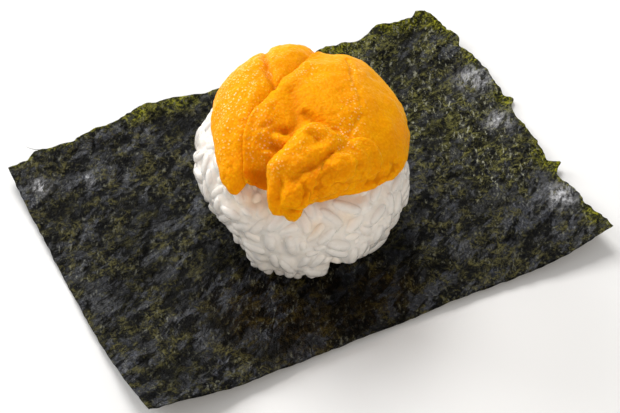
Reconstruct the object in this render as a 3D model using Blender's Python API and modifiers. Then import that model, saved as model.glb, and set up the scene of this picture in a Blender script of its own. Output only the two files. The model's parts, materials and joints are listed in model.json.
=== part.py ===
"""Sea urchin sushi: a hand-pressed ball of rice on an open sheet of nori, topped with three urchin lobes.

Run it with: blender --background --python part.py
Units are metres, +Z is up. The origin is under the middle of the nori sheet, on the surface it lies on.
+X runs along the sheet's long side, +Y along its short side.
"""

import math

import bmesh
import bpy
import numpy as np
from mathutils import Vector
from mathutils.bvhtree import BVHTree

MM = 0.001

# Nori: a quarter-cut sheet, flat under the rice and curling up at its corners.
# Each edge is given by evenly spaced stations (x, y in mm): front and left are cut, back and right are raw.
SHEET_THICKNESS = 0.3 * MM
SHEET_CELLS = (24, 18)
SHEET_FRONT = [
    (-52.4, -35.9), (-35.5, -36.8), (-17.7, -37.1), (0.0, -38.0),
    (17.7, -38.8), (35.5, -40.4), (49.5, -39.9),
]
SHEET_BACK = [
    (-53.3, 34.8), (-35.5, 38.2), (-17.7, 40.4), (0.0, 38.2),
    (17.7, 37.5), (35.5, 36.7), (51.3, 35.5),
]
SHEET_LEFT = [(-52.4, -35.9), (-53.5, -17.7), (-53.6, 0.0), (-53.5, 17.7), (-53.3, 34.8)]
SHEET_RIGHT = [(49.5, -39.9), (50.6, -18.0), (52.1, -2.0), (53.5, 15.0), (51.3, 35.5)]
CORNER_CURL = {(-1, -1): 5.4 * MM, (1, -1): 4.4 * MM, (-1, 1): 2.5 * MM, (1, 1): 2.5 * MM}
EDGE_LIFT = 0.5 * MM
WAVE_HEIGHT = 0.35 * MM
WAVE_LENGTH = (21.0 * MM, 17.0 * MM)
FLAT_RADIUS = 21.0 * MM
RIDGE_HEIGHT = 1.3 * MM
RIDGE_ENDS = (2.0 * MM, 38.0 * MM)
RIDGE_LINE = -27.5 * MM
RIDGE_REACH = 3.5 * MM

# The food is turned on the sheet: its own axes are x to its right and y to its back.
FOOD_TURN = math.radians(-28.3)
FOOD_CENTRE = (-3.5 * MM, -3.9 * MM, 13.5 * MM)

# Rice ball: a superellipsoid about FOOD_CENTRE, pressed in low on its front left, flat where it rests.
BALL_HALF = (22.1 * MM, 21.0 * MM)
BALL_ABOVE = 14.5 * MM
BALL_BELOW = 15.5 * MM
PLAN_POWER = 2.2
SIDE_POWER = 2.8
PRESSED_TOWARD = (-0.832, -0.481, -0.276)
PRESSED_SHARE = 0.24
PRESSED_REACH = 0.42
GRAIN_COUNT = 230
GRAIN_HALF_LENGTH = 3.2 * MM
GRAIN_HALF_WIDTH = 1.9 * MM
GRAIN_RELIEF = 1.4 * MM
GAP = 0.3 * MM

# Sea urchin lobes. Places on them are in mm measured over the dome from its top point: x right, y back.
# Middle of each lobe: x, y, height of its back above the rice.
DOME_RADIUS = 20.0 * MM
LOBE_MIDDLE = {
    "urchin_lobe_left": (-8.0, 5.0, 6.8),
    "urchin_lobe_top": (6.0, 0.5, 7.8),
    "urchin_lobe_front": (4.5, -12.5, 10.4),
}

# Outline of each lobe, anticlockwise: x, y, height that its back reaches toward that point.
LOBE_OUTLINE = {
    "urchin_lobe_left": [
        (-7.0, -3.0, 5.4), (-3.6, 3.4, 5.4), (0.6, 10.0, 5.6), (3.2, 17.0, 6.6),
        (2.4, 22.6, 8.4), (-2.0, 24.6, 8.4), (-8.5, 22.4, 6.6), (-13.6, 18.2, 4.2),
        (-16.8, 13.0, 3.8), (-18.2, 6.8, 3.8), (-18.1, 0.5, 3.8), (-16.8, -6.5, 3.8),
        (-15.0, -13.2, 3.8), (-13.0, -17.2, 3.8), (-10.4, -15.6, 4.2), (-9.6, -10.0, 5.0),
    ],
    "urchin_lobe_top": [
        (21.4, -5.0, 4.6), (21.8, 1.5, 4.6), (20.8, 7.5, 4.4), (18.6, 13.5, 4.6),
        (15.0, 19.0, 5.6), (9.5, 22.6, 6.4), (5.0, 21.5, 6.4), (2.4, 16.5, 6.6),
        (-0.2, 10.0, 6.8), (-3.4, 5.8, 6.8), (-5.8, 1.2, 7.0), (-8.1, -2.4, 7.0),
        (-9.2, -6.6, 6.8), (-9.4, -11.0, 6.4), (-9.6, -15.8, 4.8), (-5.6, -18.0, 4.4),
        (1.5, -18.4, 4.4), (9.1, -17.0, 4.4), (15.2, -14.0, 4.2), (19.6, -9.8, 3.8),
    ],
    "urchin_lobe_front": [
        (19.4, -7.4, 5.6), (15.8, -8.0, 7.0), (12.0, -7.8, 8.4), (8.4, -7.0, 9.4),
        (5.2, -5.7, 9.8), (2.0, -5.3, 9.8), (-0.9, -7.0, 9.6), (-2.8, -9.5, 9.4),
        (-4.6, -11.2, 9.0), (-5.8, -13.6, 8.4), (-6.2, -17.8, 6.4), (-5.8, -21.4, 4.8),
        (-2.8, -22.6, 4.6), (-0.2, -22.4, 4.4), (1.4, -20.2, 4.8), (5.0, -19.0, 5.2),
        (9.5, -17.2, 5.0), (14.9, -14.6, 4.8), (18.6, -11.6, 4.4), (20.0, -9.2, 4.4),
    ],
}
LOBE_ROUNDNESS = {"urchin_lobe_left": 2.2, "urchin_lobe_top": 2.4, "urchin_lobe_front": 2.4}
LOBE_SEGMENTS = {"urchin_lobe_left": (28, 12), "urchin_lobe_top": (36, 15), "urchin_lobe_front": (36, 13)}
LEAST_THICKNESS = 2.2
SEAT_MARGIN = 0.8

# Folds pressed into each lobe's upper side: the two ends of the fold's line, its depth and half width.
FOLDS = {
    "urchin_lobe_left": [(-7.5, 20.0, -5.4, 3.4, 1.4, 1.5)],
    "urchin_lobe_top": [
        (8.4, 12.0, 9.8, 1.0, 1.0, 1.5),
        (9.8, 1.0, 9.2, -7.0, 1.0, 1.5),
        (0.4, 1.4, -1.8, -6.2, 2.0, 2.2),
    ],
    "urchin_lobe_front": [(7.2, -10.8, -2.2, -18.8, 1.7, 1.7), (3.8, -9.8, 2.2, -10.4, 1.0, 1.2)],
}

# Swellings on each lobe's upper side: place, height and radius.
SWELLINGS = {
    "urchin_lobe_left": [(-13.0, -13.0, 0.8, 3.0)],
    "urchin_lobe_top": [(-5.0, -1.0, 0.8, 3.0), (-8.0, -8.0, 0.8, 3.0)],
    "urchin_lobe_front": [(2.4, -7.6, 1.0, 3.4), (-4.0, -14.4, 0.8, 2.2), (-2.0, -20.4, 0.7, 1.6)],
}

NORI_COLOUR = (0.020, 0.024, 0.018)
RICE_COLOUR = (0.80, 0.77, 0.71)
URCHIN_COLOUR = (0.88, 0.36, 0.012)


def clear_scene():
    """Removes every object of the startup file."""
    for obj in list(bpy.data.objects):
        bpy.data.objects.remove(obj, do_unlink=True)


def new_collection(name):
    """A collection of that name, linked to the scene."""
    collection = bpy.data.collections.new(name)
    bpy.context.scene.collection.children.link(collection)
    return collection


def material(name, colour, roughness):
    """A Principled material of one colour, not metallic."""
    made = bpy.data.materials.new(name)
    made.use_nodes = True
    shader = made.node_tree.nodes["Principled BSDF"]
    shader.inputs["Base Color"].default_value = (*colour, 1.0)
    shader.inputs["Roughness"].default_value = roughness
    shader.inputs["Metallic"].default_value = 0.0
    return made


def coordinates(mesh):
    """The mesh's vertices as an array of points."""
    flat = np.empty(len(mesh.vertices) * 3, np.float32)
    mesh.vertices.foreach_get("co", flat)
    return flat.reshape(-1, 3).astype(float)


def set_coordinates(mesh, points):
    """Moves the mesh's vertices to these points."""
    mesh.vertices.foreach_set("co", np.asarray(points, np.float32).ravel())
    mesh.update()


def round_off(mesh):
    """Turns a closed mesh's faces outward and shades it smooth."""
    shape = bmesh.new()
    shape.from_mesh(mesh)
    bmesh.ops.recalc_face_normals(shape, faces=shape.faces)
    shape.to_mesh(mesh)
    shape.free()
    mesh.shade_smooth()


def primitive(name, collection, finish, build):
    """A new object whose mesh is what build makes in an empty bmesh."""
    mesh = bpy.data.meshes.new(name)
    shape = bmesh.new()
    build(shape)
    shape.to_mesh(mesh)
    shape.free()
    mesh.materials.append(finish)
    obj = bpy.data.objects.new(name, mesh)
    collection.objects.link(obj)
    return obj


def smooth_step(value):
    """0 below 0, 1 above 1, and a smooth rise between."""
    held = np.clip(value, 0.0, 1.0)
    return held * held * (3.0 - 2.0 * held)


def through(stations, t):
    """Catmull-Rom curve through evenly spaced stations, read at t from 0 to 1."""
    stations = np.asarray(stations, float)
    ends = (2 * stations[0] - stations[1], 2 * stations[-1] - stations[-2])
    padded = np.vstack([ends[0], stations, ends[1]])
    place = np.clip(t, 0.0, 1.0) * (len(stations) - 1)
    index = np.minimum(place.astype(int), len(stations) - 2)
    f = (place - index)[:, None]
    p0, p1, p2, p3 = (padded[index + k] for k in range(4))
    bend = (p2 - p0) * f + (2 * p0 - 5 * p1 + 4 * p2 - p3) * f**2 + (3 * p1 - p0 - 3 * p2 + p3) * f**3
    return p1 + 0.5 * bend


# The nori sheet


def sheet_plan(u, v):
    """Plan place of the sheet point at u, v from 0 to 1: the Coons patch between its four edges."""
    front, back = through(SHEET_FRONT, u), through(SHEET_BACK, u)
    left, right = through(SHEET_LEFT, v), through(SHEET_RIGHT, v)
    u, v = u[:, None], v[:, None]
    ends = (SHEET_FRONT[0], SHEET_FRONT[-1], SHEET_BACK[0], SHEET_BACK[-1])
    corners = [np.array(point) for point in ends]
    front_blend = (1 - u) * corners[0] + u * corners[1]
    back_blend = (1 - u) * corners[2] + u * corners[3]
    bilinear = (1 - v) * front_blend + v * back_blend
    plan = (1 - v) * front + v * back + (1 - u) * left + u * right - bilinear
    return (plan * MM).T


def sheet_height(across, along, x, y):
    """Height of the sheet's underside: zero under the rice, then waves, a soft buckle and curled corners."""
    height = EDGE_LIFT * smooth_step((np.maximum(np.abs(across), np.abs(along)) - 0.7) / 0.3)
    for (side_x, side_y), curl in CORNER_CURL.items():
        diagonal = np.clip(across * side_x + along * side_y - 0.75, 0.0, None) / 1.25
        inside = (across * side_x > 0) & (along * side_y > 0)
        height += np.where(inside, curl * diagonal**3, 0.0)
    turn = 2.0 * math.pi
    bend = 0.4 * np.sin(turn * x / 0.06)
    waves = np.sin(turn * x / WAVE_LENGTH[0] + 1.0) * np.sin(turn * y / WAVE_LENGTH[1] + bend)
    height += WAVE_HEIGHT * (0.5 + 0.5 * waves)
    start, end = RIDGE_ENDS
    span = smooth_step((x - start) / (8 * MM)) * smooth_step((end - x) / (8 * MM))
    height += RIDGE_HEIGHT * span * np.exp(-(((y - RIDGE_LINE) / RIDGE_REACH) ** 2))
    distance = np.hypot(x - FOOD_CENTRE[0], y - FOOD_CENTRE[1])
    return height * smooth_step((distance - FLAT_RADIUS) / (8 * MM))


def add_sheet(collection, finish):
    """The nori: a grid shaped to its outline and curl, thickened upwards by Solidify."""
    columns, rows = SHEET_CELLS

    def build(shape):
        bmesh.ops.create_grid(shape, x_segments=columns, y_segments=rows, size=1.0)

    obj = primitive("nori_sheet", collection, finish, build)
    across, along, _ = coordinates(obj.data).T
    x, y = sheet_plan((across + 1.0) / 2.0, (along + 1.0) / 2.0)
    set_coordinates(obj.data, np.stack([x, y, sheet_height(across, along, x, y)], axis=1))
    wall = obj.modifiers.new("thickness", "SOLIDIFY")
    wall.thickness = SHEET_THICKNESS
    wall.offset = 1.0
    return obj


# The rice ball


def ball_radius(directions):
    """Distance from the ball's centre to its smooth outer surface, along each unit direction."""
    x, y, z = np.abs(directions).T
    height = np.where(directions[:, 2] > 0, BALL_ABOVE, BALL_BELOW)
    plan = (x / BALL_HALF[0]) ** PLAN_POWER + (y / BALL_HALF[1]) ** PLAN_POWER
    round_ball = (plan ** (SIDE_POWER / PLAN_POWER) + (z / height) ** SIDE_POWER) ** (-1.0 / SIDE_POWER)
    toward = np.array(PRESSED_TOWARD) / np.linalg.norm(PRESSED_TOWARD)
    off = np.arccos(np.clip(directions @ toward, -1.0, 1.0))
    return round_ball * (1.0 - PRESSED_SHARE * np.exp(-((off / PRESSED_REACH) ** 2)))


def to_row(points):
    """Food coordinates, about the ball's centre, turned and moved to their place on the sheet."""
    turn = np.array(
        [
            [math.cos(FOOD_TURN), -math.sin(FOOD_TURN), 0.0],
            [math.sin(FOOD_TURN), math.cos(FOOD_TURN), 0.0],
            [0.0, 0.0, 1.0],
        ]
    )
    return points @ turn.T + np.array(FOOD_CENTRE)


def spread_directions(count):
    """Unit directions spread evenly over a sphere, by the golden angle."""
    index = np.arange(count) + 0.5
    height = 1.0 - 2.0 * index / count
    turn = math.pi * (1.0 + math.sqrt(5.0)) * index
    ring = np.sqrt(1.0 - height**2)
    return np.stack([ring * np.cos(turn), ring * np.sin(turn), height], axis=1)


def grain_depth(directions):
    """How far the surface lies below the ball's envelope: zero on each grain's back, full between grains."""
    middles = spread_directions(GRAIN_COUNT)
    lean = np.random.default_rng(7).uniform(0.0, math.pi, GRAIN_COUNT)
    east = np.cross([0.0, 0.0, 1.0], middles)
    east /= np.linalg.norm(east, axis=1, keepdims=True)
    north = np.cross(middles, east)
    lengthwise = east * np.cos(lean)[:, None] + north * np.sin(lean)[:, None]
    sideways = np.cross(middles, lengthwise)
    along = directions @ lengthwise.T * BALL_HALF[0] / GRAIN_HALF_LENGTH
    beside = directions @ sideways.T * BALL_HALF[0] / GRAIN_HALF_WIDTH
    facing = directions @ middles.T > 0.5
    crown = np.where(facing, 1.0 - along**2 - beside**2, -1.0)
    return GRAIN_RELIEF * (1.0 - np.sqrt(np.clip(crown.max(axis=1), 0.0, 1.0)))


def add_rice(collection, finish):
    """The rice ball: a sphere drawn out to the envelope, less the hollows between grains, flat underneath."""

    def build(shape):
        bmesh.ops.create_icosphere(shape, subdivisions=5, radius=1.0)

    obj = primitive("rice_ball", collection, finish, build)
    directions = coordinates(obj.data)
    directions /= np.linalg.norm(directions, axis=1, keepdims=True)
    points = to_row(directions * (ball_radius(directions) - grain_depth(directions))[:, None])
    points[:, 2] = np.maximum(points[:, 2], SHEET_THICKNESS + GAP)
    set_coordinates(obj.data, points)
    round_off(obj.data)
    return obj


# The sea urchin lobes


def dome_point(x, y, height):
    """Point at (x, y) measured over the dome from its top, and at a height above the ball's envelope."""
    angle = np.hypot(x, y) / DOME_RADIUS
    bearing = np.arctan2(y, x)
    directions = np.stack(
        [np.sin(angle) * np.cos(bearing), np.sin(angle) * np.sin(bearing), np.cos(angle)], axis=1
    )
    return directions * (ball_radius(directions) + height)[:, None]


def relief(name, x, y):
    """Height in mm that the lobe's folds and swellings add to its upper side at (x, y)."""
    added = np.zeros_like(x)
    for ax, ay, bx, by, depth, half_width in FOLDS[name]:
        length = math.hypot(bx - ax, by - ay)
        share = np.clip(((x - ax) * (bx - ax) + (y - ay) * (by - ay)) / length**2, 0.0, 1.0)
        away = np.hypot(x - ax - share * (bx - ax), y - ay - share * (by - ay))
        added -= depth * np.exp(-((away / half_width) ** 2))
    for px, py, height, radius in SWELLINGS[name]:
        added += height * np.exp(-(((x - px) ** 2 + (y - py) ** 2) / radius**2))
    return added


def closed_curve(points, turn):
    """Closed Catmull-Rom curve through the points, read at turn from 0 to 1 once around."""
    ring = np.asarray(points, float)
    place = (turn % 1.0) * len(ring)
    index = place.astype(int) % len(ring)
    f = (place % 1.0)[:, None]
    p0, p1, p2, p3 = (ring[(index + k) % len(ring)] for k in (-1, 0, 1, 2))
    bend = (p2 - p0) * f + (2 * p0 - 5 * p1 + 4 * p2 - p3) * f**2 + (3 * p1 - p0 - 3 * p2 + p3) * f**3
    return p1 + 0.5 * bend


def outside_of(lobes, x, y):
    """Height in mm above the envelope that the lobes beneath reach at or near each (x, y), 0 without any."""
    heights = np.zeros_like(x)
    far = 60 * MM
    for lobe in lobes:
        tree = BVHTree.FromObject(lobe, bpy.context.evaluated_depsgraph_get())
        for turn in range(9):
            reach = SEAT_MARGIN * min(turn, 1)
            near_x = (x + reach * math.cos(turn * math.pi / 4)) * MM
            near_y = (y + reach * math.sin(turn * math.pi / 4)) * MM
            surface = to_row(dome_point(near_x, near_y, 0.0))
            outward = surface - np.array(FOOD_CENTRE)
            outward /= np.linalg.norm(outward, axis=1, keepdims=True)
            for k, (start, direction) in enumerate(zip(surface + far * outward, -outward)):
                distance = tree.ray_cast(Vector(start), Vector(direction), far)[3]
                if distance is not None:
                    heights[k] = max(heights[k], (far - distance) / MM)
    return heights


def add_lobe(name, collection, finish, beneath):
    """One lobe: a sphere spread to the lobe's outline, draped over the rice and the lobes beneath it."""
    around, rings = LOBE_SEGMENTS[name]

    def build(shape):
        bmesh.ops.create_uvsphere(shape, u_segments=around, v_segments=rings, radius=1.0)

    obj = primitive(name, collection, finish, build)
    unit = coordinates(obj.data)
    middle_x, middle_y, middle_height = LOBE_MIDDLE[name]
    turn = np.arctan2(unit[:, 1], unit[:, 0]) / (2.0 * math.pi)
    rim_x, rim_y, rim_height = closed_curve(LOBE_OUTLINE[name], turn).T
    power = 2.0 / LOBE_ROUNDNESS[name]
    share = np.clip(np.hypot(unit[:, 0], unit[:, 1]), 0.0, 1.0) ** power
    level = 0.5 + 0.5 * np.sign(unit[:, 2]) * np.abs(unit[:, 2]) ** power
    x = middle_x + (rim_x - middle_x) * share
    y = middle_y + (rim_y - middle_y) * share
    base = GAP / MM + outside_of(beneath, x, y)
    top = middle_height + (rim_height - middle_height) * share**2 + relief(name, x, y)
    top = np.maximum(top, base + LEAST_THICKNESS)
    set_coordinates(obj.data, to_row(dome_point(x * MM, y * MM, (base + (top - base) * level) * MM)))
    round_off(obj.data)
    return obj


def main():
    clear_scene()
    parts = new_collection("sea_urchin_sushi")
    nori = material("nori", NORI_COLOUR, 0.45)
    rice = material("rice", RICE_COLOUR, 0.40)
    urchin = material("urchin", URCHIN_COLOUR, 0.42)
    add_sheet(parts, nori)
    add_rice(parts, rice)
    left = add_lobe("urchin_lobe_left", parts, urchin, [])
    bpy.context.view_layer.update()
    top = add_lobe("urchin_lobe_top", parts, urchin, [left])
    bpy.context.view_layer.update()
    add_lobe("urchin_lobe_front", parts, urchin, [left, top])


main()
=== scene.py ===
"""Sea urchin sushi: a hand-pressed ball of rice on an open sheet of nori, topped with three lobes of sea urchin.

Units are metres, +Z is up, +X runs along the sheet's long side. Sizes named in MM are multiplied out where they
are used in a mesh.
"""

import json
import math

import bpy
import numpy as np
from mathutils import Matrix, Vector


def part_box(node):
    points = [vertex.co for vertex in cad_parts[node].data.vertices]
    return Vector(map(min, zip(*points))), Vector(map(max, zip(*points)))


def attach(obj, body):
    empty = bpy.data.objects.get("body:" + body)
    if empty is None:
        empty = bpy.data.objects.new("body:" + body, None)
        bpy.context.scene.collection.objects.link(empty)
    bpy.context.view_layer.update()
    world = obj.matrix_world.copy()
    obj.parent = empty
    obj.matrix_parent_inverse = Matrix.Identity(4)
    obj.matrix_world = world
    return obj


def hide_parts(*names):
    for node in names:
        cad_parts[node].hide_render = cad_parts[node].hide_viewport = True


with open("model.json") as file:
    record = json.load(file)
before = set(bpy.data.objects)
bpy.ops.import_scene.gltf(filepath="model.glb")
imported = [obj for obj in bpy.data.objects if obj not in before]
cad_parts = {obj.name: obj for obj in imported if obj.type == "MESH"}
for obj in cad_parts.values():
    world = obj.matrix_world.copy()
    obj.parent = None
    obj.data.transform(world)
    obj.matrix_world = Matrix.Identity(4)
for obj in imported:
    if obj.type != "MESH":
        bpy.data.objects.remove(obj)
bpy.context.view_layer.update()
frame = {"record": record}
MM = 0.001

# --- Nori sheet -----------------------------------------------------------------------------------------------
# A quarter of a sheet of dried laver, pressed from chopped seaweed like paper and toasted: 107 by 81 mm, 0.3 mm thick.
# Its front and left edges are cut with a knife, its back and right ones are the raw, thin edges of the whole sheet.

SHEET_THICKNESS = 0.28
SHEET_FRONT = [(-52.4, -35.9), (-35.5, -36.8), (-17.7, -37.1), (0.0, -38.0), (17.7, -38.8), (35.5, -40.4), (49.5, -39.9)]
SHEET_BACK = [(-53.3, 34.6), (-35.5, 37.4), (-17.7, 39.6), (0.0, 37.4), (17.7, 36.7), (35.5, 36.2), (51.3, 35.5)]
SHEET_LEFT = [(-52.4, -35.9), (-53.5, -17.7), (-53.6, 0.0), (-53.5, 17.7), (-53.3, 34.8)]
SHEET_RIGHT = [(49.5, -39.9), (50.6, -18.0), (52.1, -2.0), (53.5, 15.0), (51.3, 35.5)]
CORNER_CURL = {(-1, -1): 5.4, (1, -1): 4.4, (-1, 1): 2.5, (1, 1): 2.5}
FOOD_CENTRE = np.array([*frame["record"]["mounts"][0]["pos_m"][:2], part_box("rice_ball")[0][2] + 12.9 * MM]) / MM


def smooth_step(value):
    """0 below 0, 1 above 1, and a smooth rise between."""
    held = np.clip(value, 0.0, 1.0)
    return held * held * (3.0 - 2.0 * held)


def lattice_value(cells, seed):
    """A number from 0 to 1 for each lattice cell, mixed from its whole coordinates and the seed."""
    mixed = np.full(cells.shape[:-1], (seed * 2654435761 + 97) & 0xFFFFFFFF, np.uint64)
    for axis, prime in zip(range(cells.shape[-1]), (73856093, 19349663, 83492791)):
        mixed = mixed ^ ((cells[..., axis].astype(np.int64).astype(np.uint64) * np.uint64(prime)) & np.uint64(0xFFFFFFFF))
        mixed = ((mixed ^ (mixed >> np.uint64(15))) * np.uint64(2246822519)) & np.uint64(0xFFFFFFFF)
    mixed = ((mixed ^ (mixed >> np.uint64(13))) * np.uint64(3266489917)) & np.uint64(0xFFFFFFFF)
    return (mixed >> np.uint64(8)).astype(float) / float(1 << 24)


def noise(points, cell, seed):
    """Value noise from -1 to 1: random values on a lattice of that cell size, blended smoothly between corners."""
    place = np.asarray(points, float) / np.asarray(cell, float)
    corner = np.floor(place)
    blend = smooth_step(place - corner)
    total = np.zeros(place.shape[:-1])
    for bits in np.ndindex(*(2,) * place.shape[-1]):
        weight = np.prod(np.where(np.array(bits) == 1, blend, 1.0 - blend), axis=-1)
        total += weight * lattice_value(corner + np.array(bits), seed)
    return 2.0 * total - 1.0


def layered_noise(points, cell, seed, layers=3):
    """Several noises added up, each half as large and half as strong as the one before."""
    cell = np.asarray(cell, float)
    return sum(noise(points, cell / 2**k, seed + k) / 2**k for k in range(layers))


def through(stations, t):
    """Catmull-Rom curve through evenly spaced stations, read at t from 0 to 1."""
    stations = np.asarray(stations, float)
    padded = np.vstack([2 * stations[0] - stations[1], stations, 2 * stations[-1] - stations[-2]])
    place = np.clip(t, 0.0, 1.0) * (len(stations) - 1)
    index = np.minimum(place.astype(int), len(stations) - 2)
    f = (place - index)[..., None]
    p0, p1, p2, p3 = (padded[index + k] for k in range(4))
    bend = (p2 - p0) * f + (2 * p0 - 5 * p1 + 4 * p2 - p3) * f**2 + (3 * p1 - p0 - 3 * p2 + p3) * f**3
    return p1 + 0.5 * bend


TEETH = {
    "back": [(-47.0, 0.7, 1.6), (-45.0, 1.1, 2.0), (-38.0, -0.6, 3.0), (-28.0, -0.5, 4.0), (-19.0, 0.5, 1.6), (-5.0, -0.9, 5.0), (33.0, -1.1, 2.6), (38.0, 0.8, 1.8), (46.2, -0.6, 1.3), (48.8, 0.3, 1.5), (52.6, -1.4, 1.8)],
    "right": [(36.0, -1.4, 2.4), (25.0, 0.9, 2.0), (22.4, -0.7, 1.2), (3.3, 1.6, 1.1), (-0.6, -0.7, 2.0), (-18.2, 1.7, 0.8), (-22.5, -0.9, 3.0), (-31.0, -0.5, 3.0)],
}
GREEN_PLACES = [
    (-12.5, 37.0, 5.0), (-22.0, 38.0, 3.5), (27.0, 36.5, 6.0), (40.0, 36.0, 3.5), (46.0, 34.0, 4.5),
    (51.5, 29.0, 4.5), (52.0, 17.0, 3.0), (51.5, 4.0, 4.0), (50.5, -14.0, 4.0), (50.5, -19.0, 2.5), (50.5, -34.5, 4.5),
]
FLECKED_PLACES = [(40.0, 26.0, 12.0), (30.0, 8.0, 10.0), (42.0, 2.0, 9.0), (27.0, 30.0, 8.0), (40.0, -12.0, 7.0)]
# Shiny places: they raise the coat, and their base colour gets streaks of painted whitish sheen.
GLOSSY_AND_PAINTED_SHEEN_PLACES = [(49.6, 12.5, 3.2), (47.5, -0.8, 2.6), (46.5, -26.5, 3.0), (-49.0, 28.0, 1.8), (-39.0, 26.0, 1.2)]
# Painted shade: places where the sheet's colour is painted near-black, standing in for shade.
PAINTED_SHADE_PLACES = [
    (37.0, 23.0, 5.0), (34.0, 3.5, 4.5), (42.0, 31.0, 3.5), (-14.5, 31.0, 4.5), (-30.0, 11.0, 5.0), (-38.5, 7.0, 4.0),
    (-36.0, -2.5, 4.0), (-25.0, -6.0, 5.0), (-44.5, -5.5, 4.5), (-43.5, -29.0, 4.5), (-32.0, -20.0, 3.5), (10.0, -20.0, 4.5),
    (-6.0, -26.5, 7.0), (-46.0, 20.0, 3.5), (-25.5, -31.5, 4.0), (-34.0, -11.0, 4.0),
]


def raw_edge(edge, place, seed):
    """How far in mm a raw edge stands out of its smooth line: its named teeth and bays, and fringe at random."""
    line = np.stack([place, np.full_like(place, 0.5)], axis=-1)
    named = sum(out * np.exp(-(((place - at) / half_width) ** 2)) for at, out, half_width in TEETH[edge])
    fringe = 0.30 * noise(line, (5.0, 1.0), seed) + 0.34 * noise(line, (1.9, 1.0), seed + 1)
    return named + fringe + 0.26 * noise(line, (0.8, 1.0), seed + 2)


def nearness(places, x, y):
    """1 at each of the places, given by centre and radius in mm, and 0 well away from all of them."""
    return np.clip(sum(np.exp(-((x - px) ** 2 + (y - py) ** 2) / radius**2) for px, py, radius in places), 0.0, 1.0)


def sheet_place(u, v):
    """Plan place in mm of the sheet point at u, v from 0 to 1: the Coons patch between its four edges, with the
    back and right edges ragged over their last few millimetres."""
    front, back = through(SHEET_FRONT, u), through(SHEET_BACK, u)
    left, right = through(SHEET_LEFT, v), through(SHEET_RIGHT, v)
    a, b = u[..., None], v[..., None]
    corners = [np.array(point) for point in (SHEET_FRONT[0], SHEET_FRONT[-1], SHEET_BACK[0], SHEET_BACK[-1])]
    bilinear = (1 - b) * ((1 - a) * corners[0] + a * corners[1]) + b * ((1 - a) * corners[2] + a * corners[3])
    plan = (1 - b) * front + b * back + (1 - a) * left + a * right - bilinear
    x, y = plan[..., 0], plan[..., 1]
    y = y + raw_edge("back", x, 11) * smooth_step(1.0 - (1.0 - v) * 76.0 / 5.0)
    x = x + raw_edge("right", y, 31) * smooth_step(1.0 - (1.0 - u) * 104.0 / 5.0)
    fine = np.stack([x, y], axis=-1)
    x = x + 0.12 * noise(fine, (2.6, 1.3), 51) * smooth_step(1.0 - u * 104.0 / 3.0)
    y = y + 0.12 * noise(fine, (1.3, 2.6), 52) * smooth_step(1.0 - v * 76.0 / 3.0)
    return x, y


def sheet_lift(u, v, x, y):
    """Height in mm of the sheet's underside: zero under the rice, then waves, one soft buckle and curled corners."""
    across, along = 2.0 * u - 1.0, 2.0 * v - 1.0
    height = 0.5 * smooth_step((np.maximum(np.abs(across), np.abs(along)) - 0.7) / 0.3)
    for (side_x, side_y), curl in CORNER_CURL.items():
        diagonal = np.clip(across * side_x + along * side_y - 0.75, 0.0, None) / 1.25
        inside = (across * side_x > 0) & (along * side_y > 0)
        height = height + np.where(inside, curl * diagonal**3, 0.0)
    turn = 2.0 * math.pi
    waves = np.sin(turn * x / 21.0 + 1.0) * np.sin(turn * y / 17.0 + 0.4 * np.sin(turn * x / 60.0))
    height = height + 0.35 * (0.5 + 0.5 * waves)
    buckle = smooth_step((x - 2.0) / 8.0) * smooth_step((38.0 - x) / 8.0)
    height = height + 1.3 * buckle * np.exp(-(((y + 27.5) / 3.5) ** 2))
    return height * smooth_step((np.hypot(x - FOOD_CENTRE[0], y - FOOD_CENTRE[1]) - 21.0) / 8.0)


def pit_share(x, y):
    """1 in the middle of the one small pit where the laver is thin, 0 well away from it."""
    return np.exp(-(((x + 27.0 + 0.3 * y) / 2.6) ** 2) - (((y + 1.0) / 1.1) ** 2))


def sheet_relief(x, y):
    """Relief in mm of the pressed sheet: long low wrinkles along it, with shorter and finer ones between them."""
    place = np.stack([x + 0.35 * y, y - 0.25 * x], axis=-1)
    wrinkles = 0.34 * noise(place, (9.0, 3.2), 61) + 0.22 * noise(place, (4.2, 1.9), 62)
    cross = np.stack([x - 0.6 * y, y + 0.5 * x], axis=-1)
    fine = 0.14 * noise(cross, (2.6, 1.3), 63) + 0.09 * noise(place, (1.4, 1.0), 64)
    return wrinkles + fine - 0.6 * pit_share(x, y)


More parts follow.
